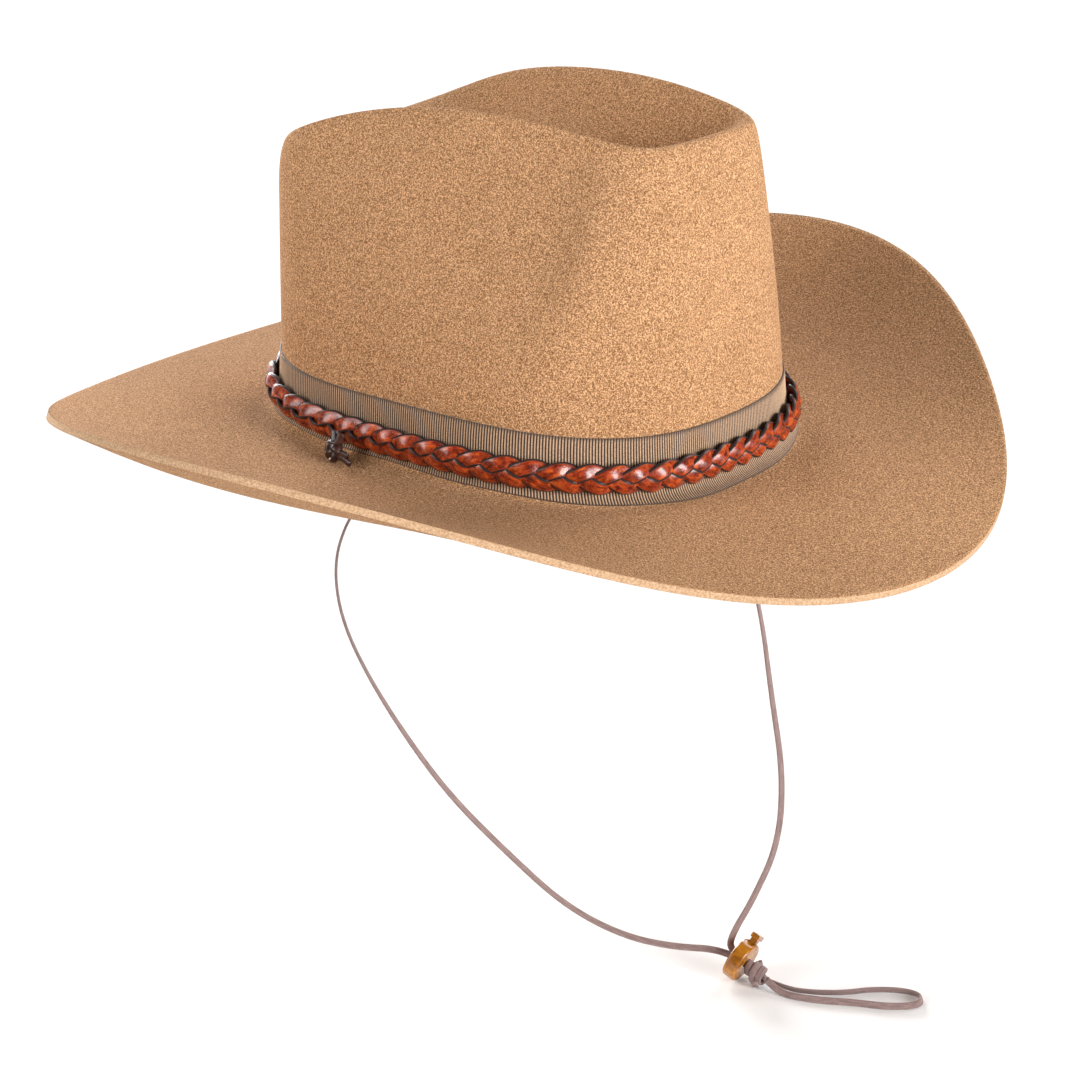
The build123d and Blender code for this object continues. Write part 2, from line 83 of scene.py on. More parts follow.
# ---------------------------------------------------------------- trimmings
RIBBON_THICKNESS = 0.6
RIBBON_GAP = 0.15
RIBBON_FOOT_FRONT = 0.1
RIBBON_FOOT_SIDE = 0.8
RIBBON_TOP = 2.92
RIB_COUNT = 480
RIB_PROUD = 0.34
SELVEDGE_PROUD = 0.2
SWEATBAND_THICKNESS = 1.2
SWEATBAND_INSET = 4.3
STITCH_COUNT = 230
STITCH_SHARE = 0.65
STITCH_HEIGHT = 2.2
STITCH_BULGE = 0.45
STITCH_SUNK = 0.1
THREAD_RADIUS = 0.2
BRAID_PERIODS = 18
BRAID_HEIGHT = 10.3
BRAID_OUT = 4.7
BRAID_SWING = 3.1
BRAID_WEAVE = 1.1
BRAID_LACE_WIDTH = 5.9
BRAID_LACE_THICKNESS = 1.9
BRAID_ROLL = 0.42
TIE_SHIFT = 4.0
TIE_SIZE = 1.2
TIE_KNOT = (2.9, 1.9)
TIE_STRAP = (2.8, 1.5)
TIE_TAIL = (2.4, 1.4)
TIE_STRAP_LEANS = (-2.4, 2.2)
TIE_TAILS = ((1, 8.5, -1.2), (1, 7.0, 1.0), (-1, 4.2, -2.0))
LACE_WIDTH = 3.0
LACE_THICKNESS = 1.05
LACE_LANE = 1.4
LACE_FACING = (-0.75, -0.66, 0.2)
LACE_STEP = 1.2
KNOT_START = 4.6
KNOT_LENGTH = 8.0
LOOP_LIFT = 1.55
FLOOR = -250.0
FLOOR_HALF_SIZE = 60000.0

# ---------------------------------------------------------------- camera (metres, degrees) and light
CAMERA_AIM = (-0.0128, -0.0108, -0.0435)
CAMERA_AZIMUTH = -48.18
CAMERA_ELEVATION = 21.03
CAMERA_DISTANCE = 1.1345
CAMERA_ROLL = -1.3
CAMERA_LENS = 98.6
WORLD_STRENGTH = 0.07
SUNS = (
    ("front", (0.0, -0.98, 0.21), 4.65),
    ("right_back_high", (-0.71, 0.41, 0.57), 0.95),
    ("right_back_low", (-0.85, 0.49, 0.21), 1.6),
    ("left_back", (0.49, 0.85, 0.21), 4.7),
    ("left", (0.82, 0.0, 0.57), 1.3),
)
SUN_SPREAD = 34

# ---------------------------------------------------------------- the chin lace's routes, as in the CAD
LACE_ROUTE_RIGHT = [
    (-75, 6, -4), (-81, 10.5, -12), (-88, 16, -24), (-88, 23, -42), (-81.5, 27.5, -66),
    (-68.5, 29.5, -93), (-53, 25.5, -124), (-35, 18, -157), (-14, 6, -188), (6, -7, -216),
    (22, -24, -231), (36, -40, -237),
]
LACE_ROUTE_LEFT = [
    (75, 6, -4), (79, -4, -17), (84, -18, -37), (88.5, -34, -66), (88, -46, -100),
    (85, -54, -135), (83, -62, -168), (75, -66, -196), (61, -63, -218), (53, -59, -231),
]
LOOP_ROUTE = [
    (54.5, -86), (59, -96), (66.5, -106), (77, -114), (84.5, -125), (85, -133), (78, -136),
    (69, -127), (63, -114), (56.5, -104), (52, -94), (50, -85),
]


def mix(a, b, share):
    """The value a share of the way from a to b."""
    return a + (b - a) * share


def lean(turn):
    """Polar angle on the band and brim that belongs to a turn of the crown."""
    return turn - CORNER_LEAN * np.cos(turn)


def points(x, y, z):
    """Coordinates stacked into an array of points."""
    return np.stack(np.broadcast_arrays(x, y, z), -1).astype(float)


def band_point(turn, scale=1.0, height=0.0):
    """The line where crown and brim meet, scaled in plan and raised."""
    a = lean(turn)
    c = np.abs(np.cos(a) / BAND_HALF_WIDTH) ** BAND_POWER
    s = np.abs(np.sin(a) / BAND_HALF_LENGTH) ** BAND_POWER
    r = scale * (c + s) ** (-1 / BAND_POWER)
    z = 1.1 * np.cos(2 * a) + 3.3 * np.sin(a) - 1.1 * np.sin(3 * a)
    return points(r * np.cos(a), r * np.sin(a), z + height)


def edge_point(turn):
    """The brim's outer edge."""
    a = lean(turn)
    r = 185.4 + 1.9 * np.cos(2 * a) + 4.4 * np.cos(4 * a) - 0.8 * np.sin(a) + 2.7 * np.sin(3 * a)
    z = 11.1 + 24.8 * np.cos(2 * a) + 0.7 * np.cos(4 * a) + 4.4 * np.sin(a) - 1.7 * np.sin(3 * a)
    return points(r * np.cos(a), r * np.sin(a), z)


def crest_point(turn):
    """The crown's crest."""
    x = 50.2 * np.cos(turn) - 10.6 * np.cos(3 * turn) + 2.3 * np.cos(5 * turn)
    x = x + 8.1 * np.sin(2 * turn) - 3.2 * np.sin(4 * turn)
    y = -10.6 + 93.6 * np.sin(turn) + 3.2 * np.sin(3 * turn) - 12.0 * np.cos(2 * turn)
    z = 121.4 - 7.5 * np.sin(turn) + 8.1 * np.cos(2 * turn) + 3.1 * np.sin(3 * turn)
    return points(x, y, z)


def shoulder_point(turn):
    """The crown's rounded shoulder."""
    crest = crest_point(turn)
    out = mix(SHOULDER_OUT_FRONT, SHOULDER_OUT, (1 + np.sin(turn)) / 2)
    k = 1 + out / np.hypot(crest[..., 0], crest[..., 1])
    return points(crest[..., 0] * k, crest[..., 1] * k, crest[..., 2] - SHOULDER_DROP)


def pinch(turn, share):
    """Inward push of the crown's two dents."""
    side = np.degrees(np.arctan2(np.sin(turn), np.abs(np.cos(turn))))
    spread = np.where(side < PINCH_ANGLE, PINCH_FRONT_SPREAD, PINCH_BACK_SPREAD)
    away = ((side - PINCH_ANGLE) / spread) ** 2 + ((share - PINCH_HEIGHT) / PINCH_HEIGHT_SPREAD) ** 2
    return PINCH_DEPTH * np.exp(-away ** PINCH_CRISPNESS)


def control_rows(turn):
    """Control points of the half-profiles, from the brim's edge to the middle of the crease."""
    band, edge, crest = band_point(turn), edge_point(turn), crest_point(turn)
    curl = mix(BRIM_CURL_END, BRIM_CURL_SIDE, (1 + np.cos(2 * lean(turn))) / 2)
    rows = []
    for share in BRIM_SHARES:
        row = mix(band, edge, share)
        row[..., 2] = mix(band[..., 2], edge[..., 2], share ** curl)
        rows.append(row)
    rows += [band_point(turn, scale, height) for scale, height in FOOT_STEPS]
    low, shoulder = rows[-1], shoulder_point(turn)
    for share in WALL_SHARES:
        row = mix(low, shoulder, share ** WALL_BULGE)
        row[..., 0] -= pinch(turn, share) * np.where(np.cos(turn) >= 0, 1, -1)
        row[..., 2] = mix(low[..., 2], shoulder[..., 2], share)
        rows.append(row)
    rows.append(crest + np.array([0, 0, CREST_LIFT]))
    steep = 1.6 + 2.4 * np.sin(turn) ** 2
    for share in CREASE_SHARES:
        z = mix(VALLEY_HEIGHT, crest[..., 2], share ** steep)
        rows.append(points(crest[..., 0] * share, crest[..., 1] * share, z))
    return np.array(rows)


def felt_top(turn, rows):
    """Outer face of the felt: an array of rings, one for each row value."""
    controls = control_rows(turn)
    before = 2 * controls[0] - controls[1]
    beyond = controls[-2] * np.array([-1, -1, 1])
    controls = np.concatenate([[before], controls, [beyond]])
    rings = []
    for row in np.atleast_1d(rows):
        i = int(min(max(np.floor(row), 0), TOP_ROW - 1))
        u = row - i
        nearer, further = 3 * u ** 3 - 6 * u ** 2 + 4, -3 * u ** 3 + 3 * u ** 2 + 3 * u + 1
        weights = ((1 - u) ** 3, nearer, further, u ** 3)
        rings.append(sum(w * controls[i + k] for k, w in enumerate(weights)) / 6)
    return np.array(rings)


def felt_face(turn, rows, depth):
    """Rings under (or, with a negative depth, over) the felt's outer face."""
    rows = np.atleast_1d(rows).astype(float)
    here = felt_top(turn, rows)
    step = 0.02
    along = felt_top(turn, rows + step) - felt_top(turn, rows - step)
    around = felt_top(turn + step, rows) - felt_top(turn - step, rows)
    normal = np.cross(along, around)
    size = np.linalg.norm(normal, axis=-1, keepdims=True)
    up = np.broadcast_to(np.array([0.0, 0.0, 1.0]), normal.shape)
    normal = np.where(size > 1e-6, normal / np.maximum(size, 1e-9), -up)
    normal[rows > TOP_ROW - 0.5] = (0, 0, -1)
    return here + normal * depth


def wall_point(turn, height, inset):
    """Upright wall inside (or, with a negative inset, outside) the crown's felt."""
    low, shoulder = band_point(turn, 0.962, RIBBON_HEIGHT), shoulder_point(turn)
    share = np.maximum(0.0, (height - RIBBON_HEIGHT) / (shoulder[..., 2] - RIBBON_HEIGHT))
    x = mix(low[..., 0], shoulder[..., 0], share ** WALL_BULGE)
    y = mix(low[..., 1], shoulder[..., 1], share ** WALL_BULGE)
    k = 1 - inset / np.hypot(x, y)
    return points(x * k, y * k, low[..., 2] - RIBBON_HEIGHT + height)


def turns(count):
    """Evenly spaced turns of the crown."""
    return np.linspace(0, 2 * pi, count, endpoint=False)


# ---------------------------------------------------------------- mesh making
def new_object(name, vertices, faces, uv=None):
    """Mesh object from points in millimetres. uv gives each corner a place in metres."""
    mesh = bpy.data.meshes.new(name)
    mesh.from_pydata([tuple(v) for v in np.asarray(vertices) * MM], [], faces)
    mesh.validate()
    mesh.polygons.foreach_set("use_smooth", [True] * len(mesh.polygons))
    if uv is not None:
        layer = mesh.uv_layers.new(name="UVMap")
        layer.data.foreach_set("uv", np.asarray(uv, np.float32).reshape(-1))
    piece = bpy.data.objects.new(name, mesh)
    bpy.context.scene.collection.objects.link(piece)
    return piece


def grid(name, rings, closed_rings=False, tips=False):
    """Skin over rings of equal count; closed_rings joins last to first, tips close both ends."""
    rings = np.asarray(rings, float)
    levels, count = rings.shape[:2]
    vertices = rings.reshape(-1, 3)
    lengths = np.linalg.norm(np.roll(rings[0], -1, axis=0) - rings[0], axis=1)
    u = np.concatenate([[0], np.cumsum(lengths)]) * MM
    steps = np.linalg.norm(np.diff(rings, axis=0), axis=2).mean(axis=1)
    v = np.concatenate([[0], np.cumsum(steps)]) * MM
    closing = np.linalg.norm(rings[0] - rings[-1], axis=1).mean() * MM
    faces, uv = [], []
    last = levels if closed_rings else levels - 1
    for i in range(last):
        a, b = i * count, ((i + 1) % levels) * count
        v0, v1 = v[i], v[i + 1] if i + 1 < levels else v[i] + closing
        for k in range(count):
            n = (k + 1) % count
            faces.append((a + k, a + n, b + n, b + k))
            uv += [(u[k], v0), (u[k + 1], v0), (u[k + 1], v1), (u[k], v1)]
    extra = []
    for ring_start, flip in ((0, True), ((levels - 1) * count, False)) if tips else ():
        middle = vertices[ring_start:ring_start + count].mean(axis=0)
        index = len(vertices) + len(extra)
        extra.append(middle)
        for k in range(count):
            n = (k + 1) % count
            face = (ring_start + k, ring_start + n, index)
            faces.append(face[::-1] if flip else face)
            uv += [(u[k], 0), (u[k + 1], 0), (u[k], 0.001)]
    if extra:
        vertices = np.concatenate([vertices, extra])
    return new_object(name, vertices, faces, uv)


def strip_mesh(name, centres, across, normals, section, closed):
    """Sweep a section (points across, out) along centres. UV: u along, v round the section, 0 to 1."""
    rings = centres[:, None] + across[:, None] * section[None, :, :1]
    rings = rings + normals[:, None] * section[None, :, 1:]
    count, around = len(centres), len(section)
    lengths = np.linalg.norm(np.diff(np.concatenate([centres, centres[:1]]), axis=0), axis=1)
    u = np.concatenate([[0], np.cumsum(lengths)]) * MM
    faces, uv = [], []
    for i in range(count if closed else count - 1):
        j = (i + 1) % count
        for k in range(around):
            n = (k + 1) % around
            faces.append((i * around + k, i * around + n, j * around + n, j * around + k))
            v0, v1 = k / around, (k + 1) / around
            uv += [(u[i], v0), (u[i], v1), (u[i + 1], v1), (u[i + 1], v0)]
    if not closed:
        faces.append(tuple(range(around))[::-1])
        faces.append(tuple((count - 1) * around + k for k in range(around)))
        uv += [(0, 0)] * around + [(u[count - 1], 0)] * around
    return new_object(name, rings.reshape(-1, 3), faces, uv)


def lens_section(width, thickness, count, power):
    """Flat oval with full sides, from its right edge anticlockwise."""
    a = np.linspace(0, 2 * pi, count, endpoint=False)
    c, s = np.cos(a), np.sin(a)
    x = np.sign(c) * np.abs(c) ** (2 / power) * width / 2
    y = np.sign(s) * np.abs(s) ** (2 / power) * thickness / 2
    return np.stack([x, y], 1)


# ---------------------------------------------------------------- materials
def material(name, colour, roughness, **shader_values):
    """A node material with plain values on the shader's own sockets."""
    made = bpy.data.materials.new(name)
    made.use_nodes = True
    shader = made.node_tree.nodes["Principled BSDF"]
    shader.inputs["Base Color"].default_value = (*colour, 1)
    shader.inputs["Roughness"].default_value = roughness
    for key, value in shader_values.items():
        socket = shader.inputs[key.replace("_", " ")]
        coloured = isinstance(value, tuple) and len(socket.default_value) == 4
        socket.default_value = (*value, 1) if coloured else value
    return made


class Nodes:
    """Short calls for building a material's nodes."""

    def __init__(self, made):
        self.tree = made.node_tree
        self.shader = self.tree.nodes["Principled BSDF"]

    def add(self, kind, **settings):
        """A new node with its settings."""
        node = self.tree.nodes.new(kind)
        for key, value in settings.items():
            setattr(node, key, value)
        return node

    def link(self, source, target):
        """Join an output to an input."""
        self.tree.links.new(source, target)

    def place(self, output="Object", scale=(1, 1, 1)):
        """Texture coordinates in metres, scaled."""
        where = self.add("ShaderNodeTexCoord")
        mapping = self.add("ShaderNodeMapping")
        mapping.inputs["Scale"].default_value = scale
        self.link(where.outputs[output], mapping.inputs["Vector"])
        return mapping.outputs["Vector"]

    def noise(self, vector, scale, detail, roughness, distortion=0.0):
        """Value of a noise texture."""
        node = self.add("ShaderNodeTexNoise")
        node.inputs["Scale"].default_value = scale
        node.inputs["Detail"].default_value = detail
        node.inputs["Roughness"].default_value = roughness
        node.inputs["Distortion"].default_value = distortion
        self.link(vector, node.inputs["Vector"])
        return node.outputs["Fac"]

    def ramp(self, value, stops):
        """Colour or grey read from stops of (position, colour or grey)."""
        node = self.add("ShaderNodeValToRGB")
        elements = node.color_ramp.elements
        while len(elements) < len(stops):
            elements.new(0.5)
        for element, (position, colour) in zip(elements, stops):
            element.position = position
            rgb = colour if isinstance(colour, tuple) else (colour,) * 3
            element.color = (*rgb, 1)
        self.link(value, node.inputs["Fac"])
        return node.outputs["Color"]

    def blend(self, share, a, b, kind="MIX"):
        """Mix colours a and b; share is a number or an output."""
        node = self.add("ShaderNodeMix", data_type="RGBA", blend_type=kind)
        for socket, value in ((node.inputs[0], share), (node.inputs[6], a), (node.inputs[7], b)):
            if isinstance(value, bpy.types.NodeSocket):
                self.link(value, socket)
            elif isinstance(value, tuple):
                socket.default_value = (*value, 1)
            else:
                socket.default_value = value
        return node.outputs[2]

    def sum(self, a, b, kind="ADD"):
        """Sum of two numbers or outputs, or another operation on them."""
        node = self.add("ShaderNodeMath", operation=kind)
        for socket, value in zip(node.inputs, (a, b)):
            if isinstance(value, bpy.types.NodeSocket):
                self.link(value, socket)
            else:
                socket.default_value = value
        return node.outputs[0]

    def bump(self, height, distance, strength):
        """Bump map on the shader; distance in metres."""
        node = self.add("ShaderNodeBump")
        node.inputs["Distance"].default_value = distance
        node.inputs["Strength"].default_value = strength
        self.link(height, node.inputs["Height"])
        self.link(node.outputs["Normal"], self.shader.inputs["Normal"])


def felt_material():
    """Short-napped wool felt: fine pebbly nap, faint clouding and a soft sheen."""
    made = material("felt", (0.5, 0.3, 0.16), 0.95, Sheen_Weight=0.04, Sheen_Roughness=0.6,
                    Sheen_Tint=(1.0, 0.86, 0.7), Specular_IOR_Level=0.05)
    n = Nodes(made)
    place = n.place()
    nap = n.noise(place, 2000, 2, 0.6)
    tufts = n.noise(place, 950, 2, 0.55)
    cloud = n.noise(place, 22, 4, 0.6)
    colour = n.ramp(nap, ((0.4, (0.26, 0.125, 0.056)), (0.5, (0.475, 0.262, 0.132)),
                          (0.6, (0.76, 0.455, 0.25))))
    tint = n.ramp(tufts, ((0.4, (0.80, 0.765, 0.72)), (0.56, (1.06, 1.05, 1.03))))
    colour = n.blend(1.0, colour, tint, "MULTIPLY")
    patch = n.ramp(cloud, ((0.3, (0.93, 0.92, 0.91)), (0.7, (1.0, 1.0, 1.0))))
    colour = n.blend(1.0, colour, patch, "MULTIPLY")
    n.link(colour, n.shader.inputs["Base Color"])
    n.bump(n.sum(n.sum(nap, 0.5, "MULTIPLY"), tufts), 0.0007, 0.9)
    return made


def cut_edge_material():
    """The felt's cut edge: denser, rougher and a little paler than the nap."""
    made = material("felt_cut_edge", (0.42, 0.25, 0.13), 0.95, Specular_IOR_Level=0.1)
    n = Nodes(made)
    fibre = n.noise(n.place(), 1400, 4, 0.7)
    colour = n.ramp(fibre, ((0.35, (0.38, 0.225, 0.12)), (0.65, (0.72, 0.47, 0.29))))
    n.link(colour, n.shader.inputs["Base Color"])
    n.bump(fibre, 0.0004, 0.8)
    return made


def ribbon_material():
    """Ribbed ribbon: light ribs, with near-black painted shade in the grooves, along both edges and on
    the inner face.
    """
    made = material("ribbon", (0.3, 0.2, 0.13), 0.6, Sheen_Weight=0.15, Specular_IOR_Level=0.3)
    n = Nodes(made)
    place = n.place("UV")
    groove_shade = n.add("ShaderNodeAttribute", attribute_name="groove_shade").outputs["Fac"]
    thread = n.noise(n.place("UV", (600, 4200, 1)), 1.0, 2, 0.6)
    shade = n.noise(place, 60, 2, 0.5)
    light = n.ramp(thread, ((0.35, (0.50, 0.31, 0.19)), (0.65, (0.84, 0.58, 0.37))))
    # Near-black painted shade, for the grooves, both edges and the inner face.
    dark = n.ramp(thread, ((0.3, (0.022, 0.010, 0.006)), (0.7, (0.06, 0.029, 0.018))))
    colour = n.blend(groove_shade, light, dark)
    tint = n.ramp(shade, ((0.3, (0.88, 0.87, 0.86)), (0.7, (1.0, 1.0, 1.0))))
    n.link(n.blend(1.0, colour, tint, "MULTIPLY"), n.shader.inputs["Base Color"])
    n.bump(thread, 0.00012, 0.6)
    return made


def plait_material():
    """Glossy red-brown leather, its edges near-black: partly burnished edges, partly painted shade in
    the gaps between the plait's lobes.
    """
    made = material("plait_leather", (0.4, 0.08, 0.03), 0.33, Coat_Weight=0.22, Coat_Roughness=0.12)
    n = Nodes(made)
    edge = n.add("ShaderNodeAttribute", attribute_name="burnish_and_gap_shade").outputs["Fac"]
    streak = n.noise(n.place("UV", (260, 9, 1)), 1.0, 4, 0.6, 0.6)
    grain = n.noise(n.place(), 1500, 3, 0.6)
    spots = n.noise(n.place(), 420, 3, 0.6)
    body = n.ramp(streak, ((0.34, (0.12, 0.010, 0.004)), (0.5, (0.36, 0.040, 0.009)),
                           (0.66, (0.66, 0.115, 0.018))))
    worn = n.ramp(spots, ((0.42, (0.62, 0.6, 0.58)), (0.6, (1.0, 1.0, 1.0))))
    body = n.blend(1.0, body, worn, "MULTIPLY")
    # Near-black towards the lace's edges: burnishing, and painted shade where the strands tuck under
    # each other.
    share = n.ramp(n.sum(edge, n.sum(streak, 0.3, "MULTIPLY")), ((0.56, 0.0), (0.78, 1.0)))
    colour = n.blend(share, body, (0.012, 0.004, 0.003))
    n.link(colour, n.shader.inputs["Base Color"])
    rough = n.ramp(grain, ((0.3, 0.16), (0.7, 0.36)))
    rough = n.blend(share, rough, (0.8, 0.8, 0.8))
    n.link(rough, n.shader.inputs["Roughness"])
    n.bump(n.sum(n.sum(streak, 0.7, "MULTIPLY"), n.sum(grain, 0.5, "MULTIPLY")), 0.00022, 0.75)
    return made


def dark_thong_material():
    """The plait's tie: the same leather, stained dark."""
    made = material("dark_thong", (0.05, 0.014, 0.01), 0.38, Coat_Weight=0.3, Coat_Roughness=0.25)
    n = Nodes(made)
    grain = n.noise(n.place(), 700, 4, 0.6)
    colour = n.ramp(grain, ((0.35, (0.010, 0.004, 0.004)), (0.65, (0.06, 0.014, 0.009))))
    n.link(colour, n.shader.inputs["Base Color"])
    n.bump(grain, 0.0003, 0.8)
    return made


def lace_material():
    """Matte mauve-brown suede lace."""
    made = material("lace_suede", (0.3, 0.22, 0.2), 0.72, Sheen_Weight=0.2, Specular_IOR_Level=0.25)
    n = Nodes(made)
    streak = n.noise(n.place("UV", (170, 14, 1)), 1.0, 3, 0.6)
    nap = n.noise(n.place(), 1300, 3, 0.6)
    colour = n.ramp(streak, ((0.3, (0.165, 0.105, 0.098)), (0.7, (0.31, 0.215, 0.20))))
    tint = n.ramp(nap, ((0.3, (0.82, 0.8, 0.8)), (0.7, (1.0, 1.0, 1.0))))
    n.link(n.blend(1.0, colour, tint, "MULTIPLY"), n.shader.inputs["Base Color"])
    n.bump(n.sum(nap, streak), 0.0002, 0.6)
    return made


def sweatband_material():
    """Smooth tan leather with light grain."""
    made = material("sweatband_leather", (0.4, 0.22, 0.11), 0.5, Specular_IOR_Level=0.35)
    n = Nodes(made)
    cells = n.add("ShaderNodeTexVoronoi", feature="DISTANCE_TO_EDGE")
    cells.inputs["Scale"].default_value = 900
    n.link(n.place(), cells.inputs["Vector"])
    cloud = n.noise(n.place(), 40, 4, 0.6)
    colour = n.ramp(cloud, ((0.3, (0.30, 0.155, 0.075)), (0.7, (0.47, 0.27, 0.14))))
    n.link(colour, n.shader.inputs["Base Color"])
    n.bump(cells.outputs["Distance"], 0.0002, 0.5)
    return made


def satin_material(name, dark, light):
    """Woven satin with fine threads and a soft gloss."""
    made = material(name, light, 0.35, Sheen_Weight=0.3, Specular_IOR_Level=0.4)
    n = Nodes(made)
    thread = n.noise(n.place("UV", (3000, 250, 1)), 1.0, 2, 0.5)
    cloud = n.noise(n.place(), 30, 3, 0.5)
    colour = n.ramp(cloud, ((0.3, dark), (0.7, light)))
    tint = n.ramp(thread, ((0.3, (0.86, 0.86, 0.86)), (0.7, (1.0, 1.0, 1.0))))
    n.link(n.blend(1.0, colour, tint, "MULTIPLY"), n.shader.inputs["Base Color"])
    n.bump(thread, 0.00006, 0.5)
    return made


def thread_material():
    """Waxed sewing thread."""
    made = material("thread", (0.34, 0.22, 0.13), 0.6)
    n = Nodes(made)
    twist = n.noise(n.place(), 2500, 2, 0.5)
    colour = n.ramp(twist, ((0.3, (0.22, 0.13, 0.07)), (0.7, (0.5, 0.35, 0.22))))
    n.link(colour, n.shader.inputs["Base Color"])
    n.bump(twist, 0.0001, 0.6)
    return made


def amber_material():
    """Translucent toffee-coloured moulded plastic."""
    made = material("amber_plastic", (0.5, 0.24, 0.05), 0.18, Subsurface_Weight=0.15,
                    Subsurface_Radius=(1.0, 0.5, 0.15), Subsurface_Scale=0.003,
                    Coat_Weight=0.3, Coat_Roughness=0.08)
    n = Nodes(made)
    swirl = n.noise(n.place(), 160, 3, 0.55, 1.2)
    colour = n.ramp(swirl, ((0.3, (0.20, 0.062, 0.003)), (0.55, (0.37, 0.14, 0.010)),
                            (0.75, (0.52, 0.225, 0.03))))
    n.link(colour, n.shader.inputs["Base Color"])
    fine = n.noise(n.place(), 900, 2, 0.5)
    n.link(n.ramp(fine, ((0.3, 0.14), (0.7, 0.26))), n.shader.inputs["Roughness"])
    n.bump(fine, 0.00005, 0.4)
    return made


def steel_material():
    """Drawn spring wire."""
    made = material("spring_steel", (0.6, 0.6, 0.6), 0.3, Metallic=1.0)
    n = Nodes(made)
    draw = n.noise(n.place(), 1200, 2, 0.5)
    n.link(n.ramp(draw, ((0.3, 0.2), (0.7, 0.42))), n.shader.inputs["Roughness"])
    colour = n.ramp(draw, ((0.3, (0.5, 0.5, 0.52)), (0.7, (0.68, 0.68, 0.68))))
    n.link(colour, n.shader.inputs["Base Color"])
    return made


def reed_material():
    """Brown plastic cord with a drawn surface."""
    made = material("reed_plastic", (0.2, 0.11, 0.06), 0.5)
    n = Nodes(made)
    scuffs = n.noise(n.place(), 300, 3, 0.6)
    colour = n.ramp(scuffs, ((0.3, (0.14, 0.075, 0.04)), (0.7, (0.27, 0.16, 0.09))))
    n.link(colour, n.shader.inputs["Base Color"])
    n.bump(scuffs, 0.0001, 0.4)
    return made


MATERIALS = {
    "felt": felt_material(),
    "cut_edge": cut_edge_material(),
    "ribbon": ribbon_material(),
    "plait": plait_material(),
    "dark_thong": dark_thong_material(),
    "lace": lace_material(),
    "sweatband": sweatband_material(),
    "lining": satin_material("lining_satin", (0.42, 0.3, 0.18), (0.62, 0.48, 0.32)),
    "bow": satin_material("bow_satin", (0.10, 0.055, 0.03), (0.2, 0.12, 0.07)),
    "thread": thread_material(),
    "amber": amber_material(),
    "steel": steel_material(),
    "reed": reed_material(),
}


def wear(piece, *names):
    """Give a piece its materials."""
    piece.data.materials.clear()
    for name in names:
        piece.data.materials.append(MATERIALS[name])


def attribute(piece, name, values):
    """A number for each vertex that the material reads."""
    made = piece.data.attributes.new(name, "FLOAT", "POINT")
    made.data.foreach_set("value", np.asarray(values, np.float32).reshape(-1))


# ---------------------------------------------------------------- camera, light and floor
def camera():
    """The view that the hat is shown from: its right front, a little above the brim."""
    azimuth, elevation = radians(CAMERA_AZIMUTH), radians(CAMERA_ELEVATION)
    back = Vector((sin(azimuth) * cos(elevation), -cos(azimuth) * cos(elevation), sin(elevation)))
    data = bpy.data.cameras.new("camera")
    data.lens, data.sensor_width = CAMERA_LENS, 36.0
    data.clip_start, data.clip_end = 0.05, 200
    made = bpy.data.objects.new("camera", data)
    bpy.context.scene.collection.objects.link(made)
    made.rotation_mode = "QUATERNION"
    made.location = Vector(CAMERA_AIM) + back * CAMERA_DISTANCE
    roll = Matrix.Rotation(radians(CAMERA_ROLL), 4, "Z").to_quaternion()
    made.rotation_quaternion = (-back).to_track_quat("-Z", "Y") @ roll
    bpy.context.scene.camera = made


def sun_light(name, towards, power):
    """Soft light from far off. towards points at it."""
    data = bpy.data.lights.new(name, "SUN")
    data.energy, data.angle = power, radians(SUN_SPREAD)
    made = bpy.data.objects.new(name, data)
    bpy.context.scene.collection.objects.link(made)
    made.rotation_mode = "QUATERNION"
    made.rotation_quaternion = Vector(towards).to_track_quat("Z", "Y")


def stage():
    """Pale floor and soft studio light."""
    size = FLOOR_HALF_SIZE
    corners = [(-size, -size), (size, -size), (size, size), (-size, size)]
    floor = new_object("floor", [(x, y, FLOOR) for x, y in corners], [(0, 1, 2, 3)])
    floor.data.materials.append(material("floor", (0.9, 0.9, 0.9), 0.9))
    world = bpy.data.worlds.new("world")
    world.use_nodes = True
    background = world.node_tree.nodes["Background"]
    background.inputs["Color"].default_value = (1, 1, 1, 1)
    background.inputs["Strength"].default_value = WORLD_STRENGTH
    bpy.context.scene.world = world
    for sun in SUNS:
        sun_light(*sun)
    bpy.context.scene.view_settings.view_transform = "Standard"


# ---------------------------------------------------------------- felt body
def felt_body():
    """Crown and brim: outer face, rounded cut edge and under face, one closed skin."""
    around = turns(720)
    per_row = 9
    top_rows = np.linspace(0, TOP_ROW - 0.06, TOP_ROW * per_row)
    outer = felt_face(around, top_rows, 0.0)
    inner = felt_face(around, top_rows, FELT_THICKNESS)
    edge_out = outer[0] - outer[1]
    edge_out /= np.linalg.norm(edge_out, axis=1, keepdims=True)
    middle, half = (outer[0] + inner[0]) / 2, (outer[0] - inner[0]) / 2
    rim = []
    for a in np.linspace(-pi / 2, pi / 2, 9)[1:-1]:
        rim.append(middle + half * np.sin(a) * 0.99 + edge_out * (np.cos(a) ** 0.5 - 1) * 0.55)
    rings = np.concatenate([inner[::-1], rim, outer])
    piece = grid("felt_body_felt", rings, tips=True)
    wear(piece, "felt", "cut_edge")
    count = len(around)
    first = (len(inner) - 1) * count
    last = (len(inner) + len(rim)) * count
    for face in piece.data.polygons[first:last]:
        face.material_index = 1
    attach(piece, "hat")
    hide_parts("felt_body")


